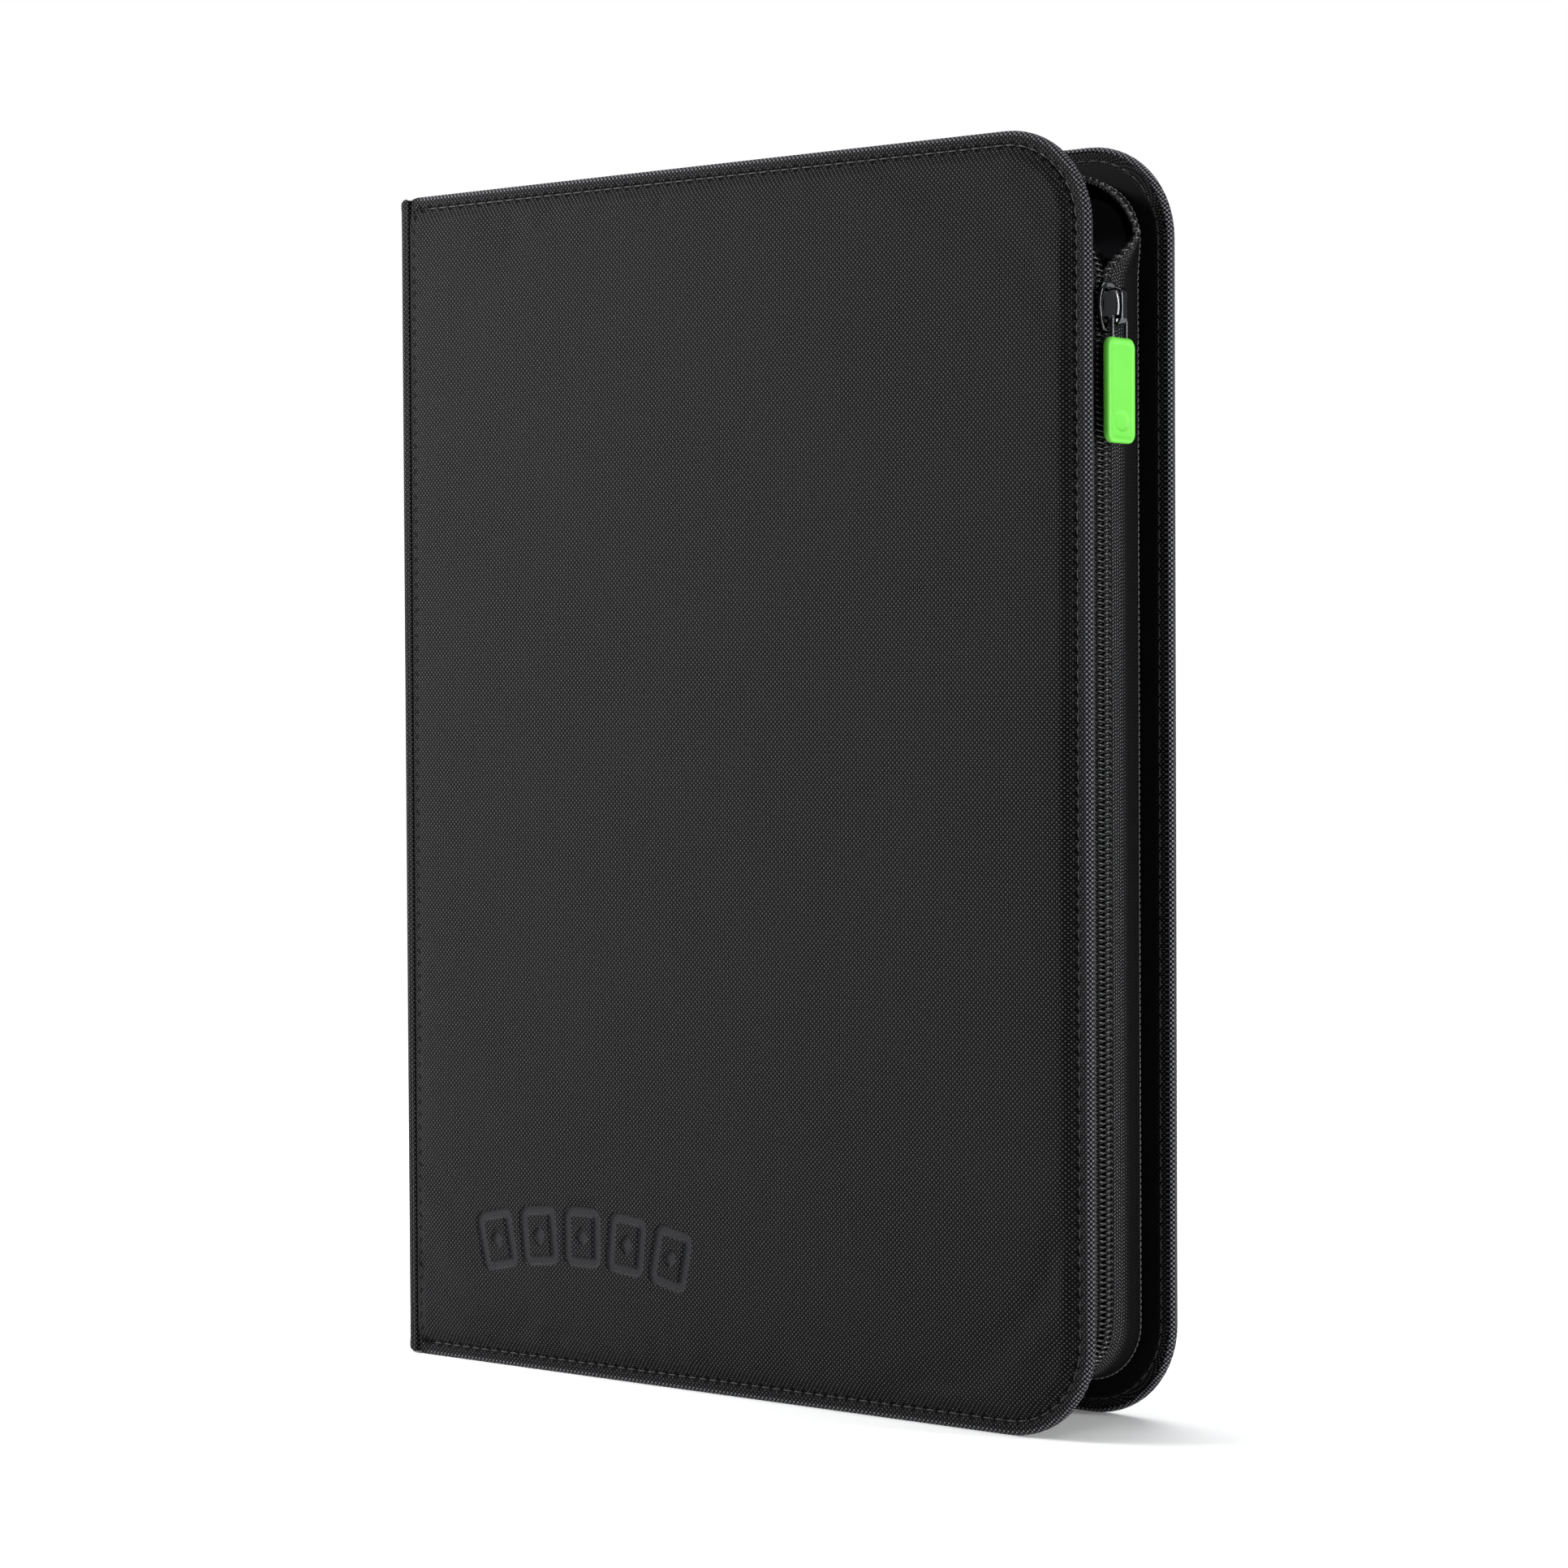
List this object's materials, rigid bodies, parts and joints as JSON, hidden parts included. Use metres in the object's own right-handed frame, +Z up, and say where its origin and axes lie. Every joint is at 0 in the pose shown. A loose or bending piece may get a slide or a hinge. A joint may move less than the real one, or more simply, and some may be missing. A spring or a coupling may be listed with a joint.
{
  "type": "trading card binder",
  "caption": "Zip-around padded binder standing upright, with two hinged covers, a rounded spine, pocket pages on a binding strip, and a zip slider with a soft rubber pull.",
  "frame": {"origin": "centre of the footprint, on the surface that the binder stands on", "axes": "+Z up along the spine, +X from the spine to the zipped fore-edge, -Y out of the front cover"},
  "size_m": [0.2444, 0.045, 0.34],
  "materials": {
    "cover_cloth": "plain-weave polyester with a black backing coat, dry sheen",
    "crease_cloth": "the same cloth pressed into the crease",
    "spine_cloth": "the same cloth drawn smooth round the spine",
    "foam": "soft closed-cell foam",
    "board": "grey bookbinder's board",
    "lining": "smooth black coated lining, soft gloss",
    "binding": "black welded strip",
    "page_film": "black sheet under clear glossy pocket film",
    "zip_tape": "black herringbone tape",
    "zip_coil": "black nylon monofilament, slight gloss",
    "zip_stop": "black moulded stop",
    "slider_metal": "polished black nickel",
    "link_metal": "polished black nickel wire",
    "tab_rubber": "matt lime-green soft rubber"
  },
  "bodies": {
    "spine": {"spine_fabric": "spine_cloth", "spine_padding": "foam", "spine_board": "board", "spine_lining": "lining", "front_hinge_strip": "crease_cloth", "back_hinge_strip": "crease_cloth", "page_binding": "binding"},
    "front_cover": {"front_cover_fabric": "cover_cloth", "front_cover_foam": "foam", "front_cover_board": "board", "front_cover_lining": "lining", "front_zip_tape": "zip_tape", "front_zip_coil": "zip_coil", "front_bottom_stop": "zip_stop", "front_top_stop": "zip_stop"},
    "back_cover": {"back_cover_fabric": "cover_cloth", "back_cover_foam": "foam", "back_cover_board": "board", "back_cover_lining": "lining", "back_zip_tape": "zip_tape", "back_zip_coil": "zip_coil", "back_bottom_stop": "zip_stop", "back_top_stop": "zip_stop"},
    "slider": {"slider_body": "slider_metal", "slider_crown": "slider_metal"},
    "pull": {"pull_link": "link_metal", "pull_tab": "tab_rubber"},
    "page_01": {"leaf_01": "page_film"},
    "page_02": {"leaf_02": "page_film"},
    "page_03": {"leaf_03": "page_film"},
    "page_04": {"leaf_04": "page_film"},
    "page_05": {"leaf_05": "page_film"},
    "page_06": {"leaf_06": "page_film"},
    "page_07": {"leaf_07": "page_film"},
    "page_08": {"leaf_08": "page_film"},
    "page_09": {"leaf_09": "page_film"},
    "page_10": {"leaf_10": "page_film"},
    "page_11": {"leaf_11": "page_film"},
    "page_12": {"leaf_12": "page_film"},
    "page_13": {"leaf_13": "page_film"},
    "page_14": {"leaf_14": "page_film"},
    "page_15": {"leaf_15": "page_film"},
    "page_16": {"leaf_16": "page_film"},
    "page_17": {"leaf_17": "page_film"},
    "page_18": {"leaf_18": "page_film"},
    "page_19": {"leaf_19": "page_film"},
    "page_20": {"leaf_20": "page_film"}
  },
  "joints": [
    {"name": "front_cover_hinge", "type": "hinge", "parent": "spine", "child": "front_cover", "pos_m": [-0.1151, -0.0205, 0], "axis": [0, 0, -1], "range_deg": [0, 95]},
    {"name": "back_cover_hinge", "type": "hinge", "parent": "spine", "child": "back_cover", "pos_m": [-0.1151, 0.0205, 0], "axis": [0, 0, 1], "range_deg": [0, 95]},
    {"name": "zip_slider", "type": "slide", "parent": "back_cover", "child": "slider", "axis": [0, 0, 1], "range_m": [-0.253, 0]},
    {"name": "pull_swing", "type": "hinge", "parent": "slider", "child": "pull", "pos_m": [0.11785, 0, 0.292], "axis": [0, -1, 0], "range_deg": [0, 140]},
    {"name": "page_01_turn", "type": "hinge", "parent": "spine", "child": "page_01", "pos_m": [-0.1123, -0.0152, 0], "axis": [0, 0, -1], "range_deg": [0, 72.06]},
    {"name": "page_02_turn", "type": "hinge", "parent": "spine", "child": "page_02", "pos_m": [-0.1123, -0.0136, 0], "axis": [0, 0, -1], "range_deg": [0, 64.86]},
    {"name": "page_03_turn", "type": "hinge", "parent": "spine", "child": "page_03", "pos_m": [-0.1123, -0.012, 0], "axis": [0, 0, -1], "range_deg": [0, 57.66]},
    {"name": "page_04_turn", "type": "hinge", "parent": "spine", "child": "page_04", "pos_m": [-0.1123, -0.0104, 0], "axis": [0, 0, -1], "range_deg": [0, 50.46]},
    {"name": "page_05_turn", "type": "hinge", "parent": "spine", "child": "page_05", "pos_m": [-0.1123, -0.0088, 0], "axis": [0, 0, -1], "range_deg": [0, 43.26]},
    {"name": "page_06_turn", "type": "hinge", "parent": "spine", "child": "page_06", "pos_m": [-0.1123, -0.0072, 0], "axis": [0, 0, -1], "range_deg": [0, 36.05]},
    {"name": "page_07_turn", "type": "hinge", "parent": "spine", "child": "page_07", "pos_m": [-0.1123, -0.0056, 0], "axis": [0, 0, -1], "range_deg": [0, 28.85]},
    {"name": "page_08_turn", "type": "hinge", "parent": "spine", "child": "page_08", "pos_m": [-0.1123, -0.004, 0], "axis": [0, 0, -1], "range_deg": [0, 21.65]},
    {"name": "page_09_turn", "type": "hinge", "parent": "spine", "child": "page_09", "pos_m": [-0.1123, -0.0024, 0], "axis": [0, 0, -1], "range_deg": [0, 14.45]},
    {"name": "page_10_turn", "type": "hinge", "parent": "spine", "child": "page_10", "pos_m": [-0.1123, -0.0008, 0], "axis": [0, 0, -1], "range_deg": [0, 7.25]},
    {"name": "page_11_turn", "type": "hinge", "parent": "spine", "child": "page_11", "pos_m": [-0.1123, 0.0008, 0], "axis": [0, 0, 1], "range_deg": [0, 7.25]},
    {"name": "page_12_turn", "type": "hinge", "parent": "spine", "child": "page_12", "pos_m": [-0.1123, 0.0024, 0], "axis": [0, 0, 1], "range_deg": [0, 14.45]},
    {"name": "page_13_turn", "type": "hinge", "parent": "spine", "child": "page_13", "pos_m": [-0.1123, 0.004, 0], "axis": [0, 0, 1], "range_deg": [0, 21.65]},
    {"name": "page_14_turn", "type": "hinge", "parent": "spine", "child": "page_14", "pos_m": [-0.1123, 0.0056, 0], "axis": [0, 0, 1], "range_deg": [0, 28.85]},
    {"name": "page_15_turn", "type": "hinge", "parent": "spine", "child": "page_15", "pos_m": [-0.1123, 0.0072, 0], "axis": [0, 0, 1], "range_deg": [0, 36.05]},
    {"name": "page_16_turn", "type": "hinge", "parent": "spine", "child": "page_16", "pos_m": [-0.1123, 0.0088, 0], "axis": [0, 0, 1], "range_deg": [0, 43.26]},
    {"name": "page_17_turn", "type": "hinge", "parent": "spine", "child": "page_17", "pos_m": [-0.1123, 0.0104, 0], "axis": [0, 0, 1], "range_deg": [0, 50.46]},
    {"name": "page_18_turn", "type": "hinge", "parent": "spine", "child": "page_18", "pos_m": [-0.1123, 0.012, 0], "axis": [0, 0, 1], "range_deg": [0, 57.66]},
    {"name": "page_19_turn", "type": "hinge", "parent": "spine", "child": "page_19", "pos_m": [-0.1123, 0.0136, 0], "axis": [0, 0, 1], "range_deg": [0, 64.86]},
    {"name": "page_20_turn", "type": "hinge", "parent": "spine", "child": "page_20", "pos_m": [-0.1123, 0.0152, 0], "axis": [0, 0, 1], "range_deg": [0, 72.06]}
  ],
  "couplings": [
    {"joint": "page_01_turn", "follows": "front_cover_hinge", "ratio": 0.758},
    {"joint": "page_02_turn", "follows": "front_cover_hinge", "ratio": 0.6822},
    {"joint": "page_03_turn", "follows": "front_cover_hinge", "ratio": 0.6064},
    {"joint": "page_04_turn", "follows": "front_cover_hinge", "ratio": 0.5306},
    {"joint": "page_05_turn", "follows": "front_cover_hinge", "ratio": 0.4548},
    {"joint": "page_06_turn", "follows": "front_cover_hinge", "ratio": 0.379},
    {"joint": "page_07_turn", "follows": "front_cover_hinge", "ratio": 0.3032},
    {"joint": "page_08_turn", "follows": "front_cover_hinge", "ratio": 0.2274},
    {"joint": "page_09_turn", "follows": "front_cover_hinge", "ratio": 0.1516},
    {"joint": "page_10_turn", "follows": "front_cover_hinge", "ratio": 0.0758},
    {"joint": "page_11_turn", "follows": "back_cover_hinge", "ratio": 0.0758},
    {"joint": "page_12_turn", "follows": "back_cover_hinge", "ratio": 0.1516},
    {"joint": "page_13_turn", "follows": "back_cover_hinge", "ratio": 0.2274},
    {"joint": "page_14_turn", "follows": "back_cover_hinge", "ratio": 0.3032},
    {"joint": "page_15_turn", "follows": "back_cover_hinge", "ratio": 0.379},
    {"joint": "page_16_turn", "follows": "back_cover_hinge", "ratio": 0.4548},
    {"joint": "page_17_turn", "follows": "back_cover_hinge", "ratio": 0.5306},
    {"joint": "page_18_turn", "follows": "back_cover_hinge", "ratio": 0.6064},
    {"joint": "page_19_turn", "follows": "back_cover_hinge", "ratio": 0.6822},
    {"joint": "page_20_turn", "follows": "back_cover_hinge", "ratio": 0.758}
  ]
}
